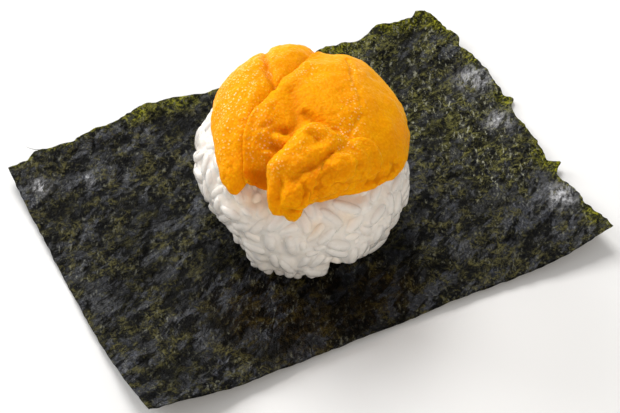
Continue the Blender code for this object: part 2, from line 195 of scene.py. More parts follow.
def sheet_mesh(columns, rows):
    """Closed shell: a top grid, the same grid one thickness lower, and a rim between them, all wound outward."""
    u, v = np.meshgrid(np.linspace(0.0, 1.0, columns), np.linspace(0.0, 1.0, rows))
    x, y = sheet_place(u, v)
    relief = sheet_relief(x, y)
    raw = np.maximum(smooth_step(1.0 - (1.0 - v) * 76.0 / 3.0), smooth_step(1.0 - (1.0 - u) * 104.0 / 3.0))
    thickness = SHEET_THICKNESS * (1.0 - 0.6 * raw)
    top = np.maximum(sheet_lift(u, v, x, y) + SHEET_THICKNESS + relief, thickness + 0.02)
    upper = np.stack([x, y, top], axis=-1).reshape(-1, 3)
    lower = np.stack([x, y, top - thickness], axis=-1).reshape(-1, 3)
    index = np.arange(columns * rows).reshape(rows, columns)
    quads = np.stack([index[:-1, :-1], index[:-1, 1:], index[1:, 1:], index[1:, :-1]], axis=-1).reshape(-1, 4)
    below = quads[:, ::-1] + len(upper)
    loop = np.concatenate([index[0, :-1], index[:-1, -1], index[-1, :0:-1], index[:0:-1, 0]])
    ahead = np.roll(loop, -1)
    rim = np.stack([loop, loop + len(upper), ahead + len(upper), ahead], axis=-1)
    near_edge = smooth_step(1.0 - np.minimum((1.0 - v) * 76.0, (1.0 - u) * 104.0) / 6.0)
    fringe = smooth_step(1.0 - np.minimum((1.0 - v) * 76.0, (1.0 - u) * 104.0) / 1.4)
    masks = {
        "green": np.tile(np.maximum(nearness(GREEN_PLACES, x, y) * near_edge, 0.6 * fringe).reshape(-1), 2),
        "glossy_and_painted_sheen": np.tile(nearness(GLOSSY_AND_PAINTED_SHEEN_PLACES, x, y).reshape(-1), 2),
        "flecked": np.tile(nearness(FLECKED_PLACES, x, y).reshape(-1), 2),
        "painted_shade": np.tile(np.maximum(nearness(PAINTED_SHADE_PLACES, x, y), 1.45 * pit_share(x, y)).reshape(-1), 2),
        # Painted reflection: a warm tint in front of the ball, for the roe reflected in the laver.
        "painted_roe_reflection": np.tile(nearness([(-24.0, -20.0, 9.0), (-19.0, -31.0, 8.0), (-6.0, -27.0, 9.0), (3.0, -29.0, 6.0)], x, y).reshape(-1), 2),
    }
    return np.concatenate([upper, lower]) * MM, np.concatenate([quads, below, rim]), masks


def new_piece(name, points, faces, material, node, masks=None):
    """A smooth-shaded object of these points and faces that rides on the root and stands for a CAD node."""
    mesh = bpy.data.meshes.new(name)
    mesh.from_pydata(points.tolist(), [], [face.tolist() for face in faces])
    mesh.materials.append(material)
    for title, values in (masks or {}).items():
        mesh.attributes.new(title, "FLOAT", "POINT").data.foreach_set("value", np.asarray(values, np.float32))
    mesh.shade_smooth()
    piece = bpy.data.objects.new(name, mesh)
    bpy.context.scene.collection.objects.link(piece)
    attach(piece, "root")
    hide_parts(node)
    return piece


def place_node(tree, kind, values=None, **settings):
    """A node of that kind in the tree, with its settings made and its sockets given numbers or linked to outputs."""
    made = tree.nodes.new(kind)
    for key, value in settings.items():
        setattr(made, key, value)
    for key, value in (values or {}).items():
        socket = made.inputs[key]
        if isinstance(value, bpy.types.NodeSocket):
            tree.links.new(value, socket)
        else:
            socket.default_value = value
    return made


def blend_colour(tree, share, first, second):
    """The colour that lies between two colours, by share."""
    mix = place_node(tree, "ShaderNodeMix", {0: share}, data_type="RGBA")
    for socket, colour in ((mix.inputs[6], first), (mix.inputs[7], second)):
        if isinstance(colour, bpy.types.NodeSocket):
            tree.links.new(colour, socket)
        else:
            socket.default_value = (*colour, 1.0)
    return mix.outputs[2]


def arithmetic(tree, operation, *values):
    """The result of one Math node."""
    made = place_node(tree, "ShaderNodeMath", dict(enumerate(values)), operation=operation)
    return made.outputs[0]


def ramp(tree, value, low, high):
    """A smooth rise from 0 at low to 1 at high, or a fall where low is above high."""
    made = place_node(tree, "ShaderNodeMapRange", {0: value, 1: low, 2: high}, interpolation_type="SMOOTHSTEP")
    return made.outputs[0]


def cloud(tree, vector, scale, detail=2.0, roughness=0.5, distortion=0.0):
    """Noise from 0 to 1 at so many features per metre."""
    sockets = {"Vector": vector, "Scale": scale, "Detail": detail, "Roughness": roughness, "Distortion": distortion}
    return place_node(tree, "ShaderNodeTexNoise", sockets).outputs["Fac"]


def new_material(name):
    """An empty material with its Principled shader joined up, and the surface's object coordinates."""
    material = bpy.data.materials.new(name)
    material.use_nodes = True
    tree = material.node_tree
    shader = tree.nodes["Principled BSDF"]
    coordinates = tree.nodes.new("ShaderNodeTexCoord").outputs["Object"]
    return material, tree, shader, coordinates


def set_sockets(tree, shader, values):
    """Gives the shader's sockets numbers, colours or links."""
    for key, value in values.items():
        if isinstance(value, bpy.types.NodeSocket):
            tree.links.new(value, shader.inputs[key])
        else:
            shader.inputs[key].default_value = value


def strokes(tree, coordinates, turn, scale, seed, low, high):
    """Short soft strokes, three times as long as wide, that run at that angle to the sheet's long side."""
    turned = place_node(tree, "ShaderNodeMapping", {"Vector": coordinates}, vector_type="TEXTURE")
    turned.inputs["Rotation"].default_value = (0.0, 0.0, math.radians(turn))
    turned.inputs["Scale"].default_value = (2.4, 1.0, 1.0)
    turned.inputs["Location"].default_value = (0.31 * seed, 0.17 * seed, 0.0)
    return ramp(tree, cloud(tree, turned.outputs[0], scale, detail=3.0, roughness=0.65, distortion=0.4), low, high)


def nori_material():
    """Blue-black pressed laver with crossing olive flecks, shiny where it is smooth, green at its raw edges. Smooth and
    shiny patches carry painted blue-grey and whitish sheen, listed places painted shade, and the front a warm painted
    reflection of the roe.
    """
    material, tree, shader, coordinates = new_material("nori")
    masks = {name: place_node(tree, "ShaderNodeAttribute", attribute_name=name).outputs["Fac"] for name in ("green", "glossy_and_painted_sheen", "painted_shade", "painted_roe_reflection", "flecked")}
    broad = cloud(tree, coordinates, 90.0, detail=3.0, roughness=0.6)
    clump = cloud(tree, coordinates, 330.0, detail=3.0, roughness=0.65)
    grain = cloud(tree, coordinates, 1300.0, detail=3.0, roughness=0.75)
    crowd = arithmetic(tree, "ADD", arithmetic(tree, "MULTIPLY", ramp(tree, clump, 0.42, 0.64), 0.85), arithmetic(tree, "MULTIPLY", ramp(tree, broad, 0.40, 0.62), 0.20))
    crowd = arithmetic(tree, "ADD", crowd, arithmetic(tree, "MULTIPLY", masks["flecked"], 0.30))
    crowd = arithmetic(tree, "MINIMUM", arithmetic(tree, "ADD", crowd, masks["green"]), 1.0)
    flecks = None
    for turn, scale, seed in ((25.0, 1300.0, 1.0), (-40.0, 1450.0, 2.0), (80.0, 1600.0, 3.0), (5.0, 1100.0, 4.0)):
        dash = strokes(tree, coordinates, turn, scale, seed, 0.50, 0.68)
        flecks = dash if flecks is None else arithmetic(tree, "MAXIMUM", flecks, dash)
    flecks = arithmetic(tree, "MULTIPLY", flecks, crowd)
    smooth = arithmetic(tree, "MULTIPLY", strokes(tree, coordinates, 30.0, 430.0, 5.0, 0.46, 0.58), arithmetic(tree, "SUBTRACT", 1.15, crowd))
    bands = strokes(tree, coordinates, 8.0, 150.0, 8.0, 0.40, 0.60)
    smooth = arithmetic(tree, "MULTIPLY", smooth, arithmetic(tree, "ADD", arithmetic(tree, "MULTIPLY", bands, 0.75), 0.45))
    pale = arithmetic(tree, "MULTIPLY", strokes(tree, coordinates, 60.0, 1300.0, 6.0, 0.56, 0.68), arithmetic(tree, "ADD", masks["flecked"], 0.35))
    shade = ramp(tree, arithmetic(tree, "ADD", arithmetic(tree, "MULTIPLY", grain, 0.6), arithmetic(tree, "MULTIPLY", clump, 0.4)), 0.53, 0.44)
    # Painted reflection: base colour and flecks turn warm in front of the ball, for the roe reflected in the laver.
    base = blend_colour(tree, masks["painted_roe_reflection"], (0.0042, 0.0046, 0.0060), (0.0120, 0.0066, 0.0018))
    # Painted sheen: smooth patches lift the base colour to blue-grey, standing in for the lights' reflection; the same
    # patches also raise the coat below.
    base = blend_colour(tree, smooth, base, (0.027, 0.031, 0.046))
    base = blend_colour(tree, arithmetic(tree, "MULTIPLY", masks["green"], 0.7), base, (0.024, 0.027, 0.002))
    dull = blend_colour(tree, masks["flecked"], (0.112, 0.103, 0.038), (0.175, 0.168, 0.050))
    dull = blend_colour(tree, masks["painted_roe_reflection"], dull, (0.070, 0.050, 0.011))
    bright = blend_colour(tree, masks["green"], dull, (0.31, 0.31, 0.014))
    colour = blend_colour(tree, flecks, base, bright)
    colour = blend_colour(tree, arithmetic(tree, "MULTIPLY", pale, 0.85), colour, (0.34, 0.34, 0.25))
    colour = blend_colour(tree, arithmetic(tree, "MULTIPLY", shade, 0.85), colour, (0.0006, 0.0006, 0.0005))
    # Painted highlight: whitish-grey streaks of sheen painted into the colour at the shiny places, fewer where painted
    # shade lies.
    painted_gloss_streaks = arithmetic(tree, "MULTIPLY", masks["glossy_and_painted_sheen"], strokes(tree, coordinates, 50.0, 800.0, 7.0, 0.42, 0.60))
    painted_gloss_streaks = arithmetic(tree, "MULTIPLY", painted_gloss_streaks, arithmetic(tree, "SUBTRACT", 1.0, arithmetic(tree, "MULTIPLY", shade, 0.6)))
    colour = blend_colour(tree, arithmetic(tree, "MULTIPLY", painted_gloss_streaks, 0.95), colour, (0.56, 0.565, 0.59))
    relief = arithmetic(tree, "ADD", arithmetic(tree, "MULTIPLY", flecks, 0.5), grain)
    relief = arithmetic(tree, "ADD", relief, arithmetic(tree, "MULTIPLY", clump, 3.5))
    bump = place_node(tree, "ShaderNodeBump", {"Height": relief, "Strength": 1.0, "Distance": 0.00028})
    # Painted shade: near-black at the listed shade places and in the small pit.
    colour = blend_colour(tree, arithmetic(tree, "MULTIPLY", masks["painted_shade"], 0.68), colour, (0.001, 0.001, 0.0005))
    polish = arithmetic(tree, "MULTIPLY", arithmetic(tree, "ADD", smooth, masks["glossy_and_painted_sheen"]), 0.55)
    polish = arithmetic(tree, "MULTIPLY", polish, arithmetic(tree, "SUBTRACT", 1.0, arithmetic(tree, "MULTIPLY", masks["painted_shade"], 0.7)))
    set_sockets(
        tree,
        shader,
        {
            "Base Color": colour,
            "Roughness": 0.55,
            "Normal": bump.outputs[0],
            "Specular IOR Level": 0.05,
            "Coat Weight": polish,
            "Coat Roughness": 0.30,
            "Coat Normal": bump.outputs[0],
        },
    )
    return material


sheet_points, sheet_faces, sheet_masks = sheet_mesh(256, 192)
nori_finish = nori_material()
new_piece("nori", sheet_points, sheet_faces, nori_finish, "nori_sheet", sheet_masks)


def fibre_mesh(start, reach, around, rings):
    """A loose fibre, a curved hair of laver 0.16 mm thick that thins out to a closed tip."""
    along = np.linspace(0.0, 1.0, rings)[:, None, None]
    turn = np.linspace(0.0, 2.0 * math.pi, around, endpoint=False)[None, :, None]
    bow = np.array([-0.3, -0.5, 0.2]) * np.sin(along * math.pi)
    middle = np.array(start) + np.array(reach) * along + bow
    radius = 0.08 * (1.0 - 0.7 * along) * np.clip(8.0 * np.minimum(along, 1.0 - along) + 0.02, 0.0, 1.0)
    side, rise = np.array([0.6, 0.8, 0.0]), np.array([0.0, 0.0, 1.0])
    points = (middle + radius * (np.cos(turn) * side + np.sin(turn) * rise)).reshape(-1, 3)
    index = np.arange(around * rings).reshape(rings, around)
    ahead = np.roll(index, -1, axis=1)
    quads = np.stack([index[:-1], index[1:], ahead[1:], ahead[:-1]], axis=-1).reshape(-1, 4)
    return points * MM, list(quads) + [index[0], index[-1, ::-1]]


root_u, root_v = np.array([0.079]), np.array([1.0])
root_x, root_y = sheet_place(root_u, root_v)
root_z = sheet_lift(root_u, root_v, root_x, root_y) + sheet_relief(root_x, root_y) + SHEET_THICKNESS
fibre_points, fibre_faces = fibre_mesh((root_x[0] + 0.3, root_y[0] - 0.4, root_z[0]), (-3.2, 2.4, 0.5), 8, 14)
new_piece("nori_fibre", fibre_points, fibre_faces, nori_finish, "nori_sheet")

# --- Rice ball ------------------------------------------------------------------------------------------------
# Cooked short-grain rice pressed by hand into a flat-bottomed ball, 44 mm wide, 42 mm deep and 28 mm high. The
# grains are 6 mm long and 3 mm wide, moist and a little see-through, and stick to each other where they touch.

BALL_HALF = (22.1, 21.0)
BALL_ABOVE = 14.5
BALL_BELOW = 15.5
PRESSED_TOWARD = np.array((-0.832, -0.481, -0.276)) / np.linalg.norm((-0.832, -0.481, -0.276))
FOOD_TURN = math.radians(-28.3)
BALL_DENTS = [
    (6.5, 0.20, (0.40, -0.67, -0.63)),
    (1.5, 0.34, (0.76, -0.50, -0.42)),
    (0.4, 0.30, (-0.45, -0.68, -0.57)),
    (-0.4, 0.25, (-0.92, 0.30, 0.22)),
    (0.5, 0.25, (-0.98, 0.08, -0.15)),
]
GRAIN_COUNT = 1320
GRAIN_LENGTH = 5.5
GRAIN_WIDTH = 3.0
CORE_FILL = 0.9
CORE_DEPTH = 0.38
FOOT_GRAINS = [
    ((-9.4, -14.6, -12.0), (-7.6, -10.4, -9.2)), ((-6.8, -16.2, -12.2), (-5.4, -11.8, -9.6)),
    ((-4.2, -16.7, -12.0), (-4.0, -12.0, -9.4)), ((-0.6, -17.4, -12.2), (-0.8, -12.6, -9.8)),
    ((3.3, -16.8, -12.0), (2.2, -12.3, -9.2)), ((9.4, -11.8, -11.8), (14.2, -10.2, -11.2)),
    ((12.8, -11.3, -11.2), (17.5, -7.2, -9.8)), ((11.3, -13.1, -8.6), (15.8, -10.7, -7.0)),
]
NOTCHES = [(-2.4, -16.9, -12.0, 0.9), (1.5, -16.6, -12.0, 1.0), (5.8, -15.2, -12.0, 1.9), (8.2, -15.0, -11.5, 1.6), (6.4, -16.3, -9.4, 1.9), (8.4, -15.8, -9.8, 1.5)]


def ball_radius(directions):
    """Distance in mm from the ball's centre to its envelope along each unit direction: a superellipsoid, taller
    below than above, pressed in by a tenth at its lower front left."""
    x, y, z = np.moveaxis(np.abs(directions), -1, 0)
    height = np.where(directions[..., 2] > 0, BALL_ABOVE, BALL_BELOW)
    plan = (x / BALL_HALF[0]) ** 2.2 + (y / BALL_HALF[1]) ** 2.2
    round_ball = (plan ** (2.8 / 2.2) + (z / height) ** 2.8) ** (-1.0 / 2.8)
    off = np.arccos(np.clip(directions @ PRESSED_TOWARD, -1.0, 1.0))
    return round_ball * (1.0 - 0.24 * np.exp(-((off / 0.42) ** 2)))


def grain_limit(directions):
    """Distance in mm from the ball's centre that the grains reach: the envelope with the hand's smaller dents."""
    limit = ball_radius(directions)
    for depth, reach, toward in BALL_DENTS:
        off = np.arccos(np.clip(directions @ (np.array(toward) / np.linalg.norm(toward)), -1.0, 1.0))
        limit = limit - depth * np.exp(-((off / reach) ** 2))
    return limit


def to_row(points):
    """Food coordinates in mm about the ball's centre, turned and moved to their place on the sheet, in metres."""
    turn = np.array(Matrix.Rotation(FOOD_TURN, 3, "Z"))
    return (points @ turn.T + FOOD_CENTRE) * MM


def unit(vectors):
    """The vectors at length 1."""
    return vectors / np.maximum(np.linalg.norm(vectors, axis=-1, keepdims=True), 1e-9)


def spread_directions(count):
    """Unit directions spread evenly over a sphere, by the golden angle."""
    index = np.arange(count) + 0.5
    height = 1.0 - 2.0 * index / count
    turn = math.pi * (1.0 + math.sqrt(5.0)) * index
    ring = np.sqrt(1.0 - height**2)
    return np.stack([ring * np.cos(turn), ring * np.sin(turn), height], axis=1)


def settle_grains():
    """Places the grains: spread over a shell two grains deep, then pushed apart until they only just press into
    each other, held inside the ball's envelope and above the sheet. Each grain counts as five balls in a row."""
    chance = np.random.default_rng(5)
    heading = unit(spread_directions(GRAIN_COUNT) + chance.normal(0.0, 0.03, (GRAIN_COUNT, 3)))
    depth = np.where(np.arange(GRAIN_COUNT) % 5 < 3, 1.2, 3.6) + chance.uniform(-0.3, 0.3, GRAIN_COUNT)
    centres = heading * (grain_limit(heading) - depth)[:, None]
    flat = unit(np.cross(heading, unit(chance.normal(size=(GRAIN_COUNT, 3)))))
    upright = smooth_step(0.6 - 1.2 * heading[:, 2:]) * np.sign(chance.uniform(-1.0, 1.0, (GRAIN_COUNT, 1)))
    flat = flat + 1.1 * upright * unit(np.array([0.25, 0.0, 1.0]) - heading * (heading @ np.array([0.25, 0.0, 1.0]))[:, None])
    foot = smooth_step((-0.22 - heading[:, 2:]) / 0.25)
    axes = unit(unit(flat) + 1.6 * foot * heading + 0.20 * chance.normal(size=(GRAIN_COUNT, 3)))
    length = GRAIN_LENGTH * chance.normal(1.0, 0.07, GRAIN_COUNT)
    width = GRAIN_WIDTH * chance.normal(1.0, 0.06, GRAIN_COUNT)
    steps = np.array([-0.72, -0.38, 0.0, 0.38, 0.72])
    offsets = steps * length[:, None] / 2.0
    radii = 0.5 * width[:, None] * np.sqrt(1.0 - 0.72 * steps**2)
    floor = SHEET_THICKNESS - FOOD_CENTRE[2] + 0.1
    stand_out = chance.uniform(-0.45, 0.55, GRAIN_COUNT) * (1.0 + 0.9 * foot[:, 0])
    for step in range(90):
        balls = centres[:, None] + axes[:, None] * offsets[..., None]
        if step % 10 == 0:
            gap = np.linalg.norm(centres[:, None] - centres[None], axis=-1)
            first, second = np.nonzero(np.triu(gap < 8.0, 1))
        apart = balls[first][:, :, None] - balls[second][:, None]
        distance = np.linalg.norm(apart, axis=-1)
        reach = 0.72 * (radii[first][:, :, None] + radii[second][:, None])
        push = (np.clip(reach - distance, 0.0, None) / np.maximum(distance, 1e-6))[..., None] * apart
        force = np.zeros_like(balls)
        np.add.at(force, first, push.sum(axis=2))
        np.add.at(force, second, -push.sum(axis=1))
        outward = unit(balls)
        proud = np.linalg.norm(balls, axis=-1) + radii - grain_limit(outward) - stand_out[:, None]
        force -= 1.2 * np.clip(proud, 0.0, None)[..., None] * outward
        force[..., 2] += 1.2 * np.clip(floor + radii - balls[..., 2], 0.0, None)
        centres += 0.16 * force.sum(axis=1)
        twist = np.cross(axes[:, None] * offsets[..., None], force).sum(axis=1)
        axes = unit(axes + np.cross(0.012 * twist, axes))
    balls = centres[:, None] + axes[:, None] * offsets[..., None]
    return set_foot(balls, centres, axes, length, width)


def set_foot(balls, centres, axes, length, width):
    """Puts the named grains in at the foot, each from its outer to its inner end, in place of the settled ones that
    they would run through, and takes out those that stand in a notch."""
    ends = np.array(FOOT_GRAINS)
    steps = np.linspace(0.2, 0.8, 4)[None, :, None]
    inside = (ends[:, :1] + (ends[:, 1:] - ends[:, :1]) * steps).reshape(-1, 3)
    crowded = np.linalg.norm(balls[:, :, None] - inside, axis=-1).min(axis=(1, 2)) < 1.5
    notches = np.array(NOTCHES)
    blocked = (np.linalg.norm(balls[:, :, None] - notches[:, :3], axis=-1) < notches[:, 3] + 1.0).any(axis=(1, 2))
    kept = ~(crowded | blocked)
    foot_length = np.linalg.norm(ends[:, 1] - ends[:, 0], axis=1)
    foot_axes = unit(ends[:, 1] - ends[:, 0])
    centres, axes = np.concatenate([centres[kept], ends.mean(axis=1)]), np.concatenate([axes[kept], foot_axes])
    return centres, axes, np.append(length[kept], foot_length), np.append(width[kept], np.full(len(ends), 3.0))


def grain_shape(around, rings):
    """One grain of unit half length and half widths: an ellipsoid with blunt ends, bent a little and pinched where
    its germ was. Returns its points and faces, closed at both poles."""
    angle = np.linspace(0.0, math.pi, rings + 2)[1:-1, None]
    turn = np.linspace(0.0, 2.0 * math.pi, around, endpoint=False)[None]
    along = np.cos(angle) * np.ones_like(turn)
    girth = np.sin(angle) ** 0.62
    side = girth * np.cos(turn)
    rise = 0.86 * girth * np.sin(turn) + 0.10 * (along**2 - 0.4)
    pinch = 1.0 - 0.22 * np.exp(-(((along - 0.8) / 0.3) ** 2)) * np.clip(np.sin(turn), 0.0, 1.0)
    body = np.stack([along, side, rise * pinch], axis=-1).reshape(-1, 3)
    points = np.concatenate([body, [[1.0, 0.0, 0.06], [-1.0, 0.0, 0.06]]])
    index = np.arange(around * rings).reshape(rings, around)
    ahead = np.roll(index, -1, axis=1)
    quads = np.stack([index[:-1], index[1:], ahead[1:], ahead[:-1]], axis=-1).reshape(-1, 4)
    first = np.stack([np.full(around, around * rings), index[0], ahead[0]], axis=-1)
    last = np.stack([np.full(around, around * rings + 1), ahead[-1], index[-1]], axis=-1)
    return points, quads, np.concatenate([first, last])


def rice_mesh(centres, axes, length, width):
    """All the grains as one mesh: the grain's shape scaled, turned and moved to each settled place."""
    chance = np.random.default_rng(6)
    shape, quads, caps = grain_shape(10, 7)
    roll = unit(np.cross(axes, unit(chance.normal(size=axes.shape))))
    third = np.cross(axes, roll)
    points = (
        centres[:, None]
        + shape[None, :, :1] * (axes * length[:, None] / 2.0)[:, None]
        + shape[None, :, 1:2] * (roll * width[:, None] / 2.0)[:, None]
        + shape[None, :, 2:] * (third * width[:, None] / 2.0)[:, None]
    )
    points[..., 2] = np.maximum(points[..., 2], SHEET_THICKNESS - FOOD_CENTRE[2] + 0.05)
    shift = np.arange(len(centres))[:, None, None] * len(shape)
    faces = list((quads[None] + shift).reshape(-1, 4)) + list((caps[None] + shift).reshape(-1, 3))
    places = [(14.0, -11.5, 4.0), (19.0, -3.5, 4.5), (-7.0, -15.0, 2.0), (-1.0, -16.0, 2.0)]
    clear = nearness(places, centres[:, 0], centres[:, 1]) * (centres[:, 2] < -3.0)
    tone = np.maximum(chance.uniform(0.0, 0.82, len(centres)), clear * chance.uniform(0.8, 1.2, len(centres)))
    tone = np.repeat(tone, len(shape))
    flat = points.reshape(-1, 3)
    # Painted light: how far below the envelope each point lies, used to paint crevices brighter and warmer.
    deep = smooth_step((grain_limit(unit(flat)) - np.linalg.norm(flat, axis=1) + 0.2) / 1.5)
    return to_row(flat), faces, {"tone": tone, "deep": deep, "mass": np.zeros(len(flat)), "painted_roe_bounce": painted_roe_bounce_share(flat)}


def painted_roe_bounce_share(points):
    """How much warm painted light, bounced from the roe, tints the rice: most right beside the lobes' lower edges."""
    places = [(-10.5, -13.5, 8.6, 2.2), (-7.0, -15.0, 8.6, 2.6), (-4.6, -16.6, 6.5, 1.6), (3.0, -18.0, 5.6, 2.0), (8.0, -16.2, 6.8, 2.0)]
    return np.clip(sum(np.exp(-((np.linalg.norm(points - place[:3], axis=1) / place[3]) ** 2)) for place in np.array(places)), 0.0, 1.0)


def core_mesh(centres, axes, length, width, around, rings):
    """The rice behind the outer grains, stuck together by its starch: a closed skin that runs over the grains, just
    under their backs, and fills what lies between them."""
    angle = np.linspace(0.0, math.pi, rings + 2)[1:-1, None]
    turn = np.linspace(0.0, 2.0 * math.pi, around, endpoint=False)[None]
    directions = np.stack([np.sin(angle) * np.cos(turn), np.sin(angle) * np.sin(turn), np.cos(angle) * np.ones_like(turn)], axis=-1)
    directions = np.concatenate([directions.reshape(-1, 3), [[0.0, 0.0, 1.0], [0.0, 0.0, -1.0]]])
    reach = np.zeros(len(directions))
    for step in (-0.72, -0.38, 0.0, 0.38, 0.72):
        middle = centres + axes * (step * length / 2.0)[:, None]
        radius = 0.5 * width * math.sqrt(1.0 - 0.72 * step**2) + CORE_FILL
        along = directions @ middle.T
        inside = radius**2 - (middle**2).sum(axis=1) + along**2
        reach = np.maximum(reach, np.where(inside > 0.0, along + np.sqrt(np.maximum(inside, 0.0)), 0.0).max(axis=1))
    body = reach[:-2].reshape(rings, around)
    for axis in (0, 1, 0, 1):
        body = (np.roll(body, 1, axis) + body + np.roll(body, -1, axis)) / 3.0 if axis else soften_rows(body)
    reach = np.concatenate([body.reshape(-1), reach[-2:]]) - CORE_FILL
    low = smooth_step((-directions[:, 2] * reach - 7.0) / 4.0)
    depth = CORE_DEPTH + 0.22 * noise(directions * reach[:, None], 3.5, 71)
    points = directions * (reach - depth - 1.1 * low)[:, None]
    points[:, 2] = np.maximum(points[:, 2], SHEET_THICKNESS - FOOD_CENTRE[2] + 0.1)
    index = np.arange(around * rings).reshape(rings, around)
    ahead = np.roll(index, -1, axis=1)
    quads = np.stack([index[:-1], index[1:], ahead[1:], ahead[:-1]], axis=-1).reshape(-1, 4)
    first = np.stack([np.full(around, around * rings), index[0], ahead[0]], axis=-1)
    last = np.stack([np.full(around, around * rings + 1), ahead[-1], index[-1]], axis=-1)
    # The core's share of 0.3 gives it some of the painted crevice light.
    masks = {"tone": np.full(len(points), 0.3), "deep": np.full(len(points), 0.3), "mass": np.ones(len(points)), "painted_roe_bounce": painted_roe_bounce_share(points)}
    return to_row(points), list(quads) + list(first) + list(last), masks


def soften_rows(body):
    """Each row averaged with the ones above and below it; the first and last keep one neighbour."""
    padded = np.concatenate([body[:1], body, body[-1:]])
    return (padded[:-2] + padded[1:-1] + padded[2:]) / 3.0


def wet_skin_group():
    """Node group for a moist skin: fine relief and a roughness that is lower in patches, where water stands."""
    group = bpy.data.node_groups.new("wet_skin", "ShaderNodeTree")
    for title, low in (("Vector", None), ("Size", 1000.0), ("Dryness", 0.3)):
        kind = "NodeSocketVector" if low is None else "NodeSocketFloat"
        socket = group.interface.new_socket(title, in_out="INPUT", socket_type=kind)
        if low is not None:
            socket.default_value = low
    for title in ("Height", "Roughness"):
        group.interface.new_socket(title, in_out="OUTPUT", socket_type="NodeSocketFloat")
    given = group.nodes.new("NodeGroupInput").outputs
    result = group.nodes.new("NodeGroupOutput").inputs
    fine = place_node(group, "ShaderNodeTexNoise", {"Vector": given["Vector"], "Scale": given["Size"], "Detail": 3.0})
    pooled = arithmetic(group, "MULTIPLY", given["Size"], 0.3)
    pools = place_node(group, "ShaderNodeTexNoise", {"Vector": given["Vector"], "Scale": pooled, "Detail": 1.0})
    group.links.new(fine.outputs["Fac"], result["Height"])
    dry = arithmetic(group, "MULTIPLY", ramp(group, pools.outputs["Fac"], 0.35, 0.65), given["Dryness"])
    group.links.new(arithmetic(group, "ADD", dry, 0.16), result["Roughness"])
    return group


wet_skin = wet_skin_group()


def rice_material():
    """Moist white rice: a clouded core seen through a clear skin, each grain a little different. Its crevices are
    painted brighter and warmer for light passed through the rice, and warm painted bounce light from the roe lies
    beside the lobes.
    """
    material, tree, shader, coordinates = new_material("rice")
    skin = place_node(tree, "ShaderNodeGroup", node_tree=wet_skin)
    set_sockets(tree, skin, {"Vector": coordinates, "Size": 1400.0, "Dryness": 0.25})
    tone = place_node(tree, "ShaderNodeAttribute", attribute_name="tone").outputs["Fac"]
    clouds = cloud(tree, coordinates, 500.0, detail=2.0)
    share = arithmetic(tree, "ADD", arithmetic(tree, "MULTIPLY", clouds, 0.6), arithmetic(tree, "MULTIPLY", tone, 0.4))
    colour = blend_colour(tree, share, (0.80, 0.75, 0.685), (0.80, 0.77, 0.725))
    colour = blend_colour(tree, arithmetic(tree, "MULTIPLY", ramp(tree, tone, 0.80, 1.0), 0.6), colour, (0.62, 0.64, 0.64))
    deep, mass = (place_node(tree, "ShaderNodeAttribute", attribute_name=name).outputs["Fac"] for name in ("deep", "mass"))
    # Painted light: crevices painted brighter and warmer, standing in for light passed through the rice.
    colour = blend_colour(tree, deep, colour, (0.95, 0.86, 0.76))
    # Painted light: warm orange light bounced from the roe, painted onto the rice beside the lobes.
    painted_roe_bounce = place_node(tree, "ShaderNodeAttribute", attribute_name="painted_roe_bounce").outputs["Fac"]
    colour = blend_colour(tree, arithmetic(tree, "MULTIPLY", painted_roe_bounce, 0.75), colour, (1.0, 0.74, 0.48))
    bump = place_node(tree, "ShaderNodeBump", {"Height": skin.outputs["Height"], "Strength": 0.25, "Distance": 0.0002})
    set_sockets(
        tree,
        shader,
        {
            "Base Color": colour,
            "Roughness": skin.outputs["Roughness"],
            "Normal": bump.outputs[0],
            "Specular IOR Level": 0.5,
            "Subsurface Weight": arithmetic(tree, "ADD", arithmetic(tree, "MULTIPLY", mass, 0.6), 0.2),
            "Subsurface Radius": (1.0, 0.88, 0.76),
            "Subsurface Scale": 0.0007,
        },
    )
    return material


rice_finish = rice_material()
grain_places = settle_grains()
core_points, core_faces, core_masks = core_mesh(*grain_places, 360, 200)
core = new_piece("rice_core", core_points, core_faces, rice_finish, "rice_ball", core_masks)
grain_points, grain_faces, grain_masks = rice_mesh(*grain_places)
grains = new_piece("rice_grains", grain_points, grain_faces, rice_finish, "rice_ball", grain_masks)

# --- Sea urchin lobes -----------------------------------------------------------------------------------------
# Three soft tongues of sea urchin roe, 5 to 8 mm thick, laid by hand over the rice: one at the left, a large one
# over the top and right, and a folded one at the front. Their skin is a mass of fine grains, moist and soft.

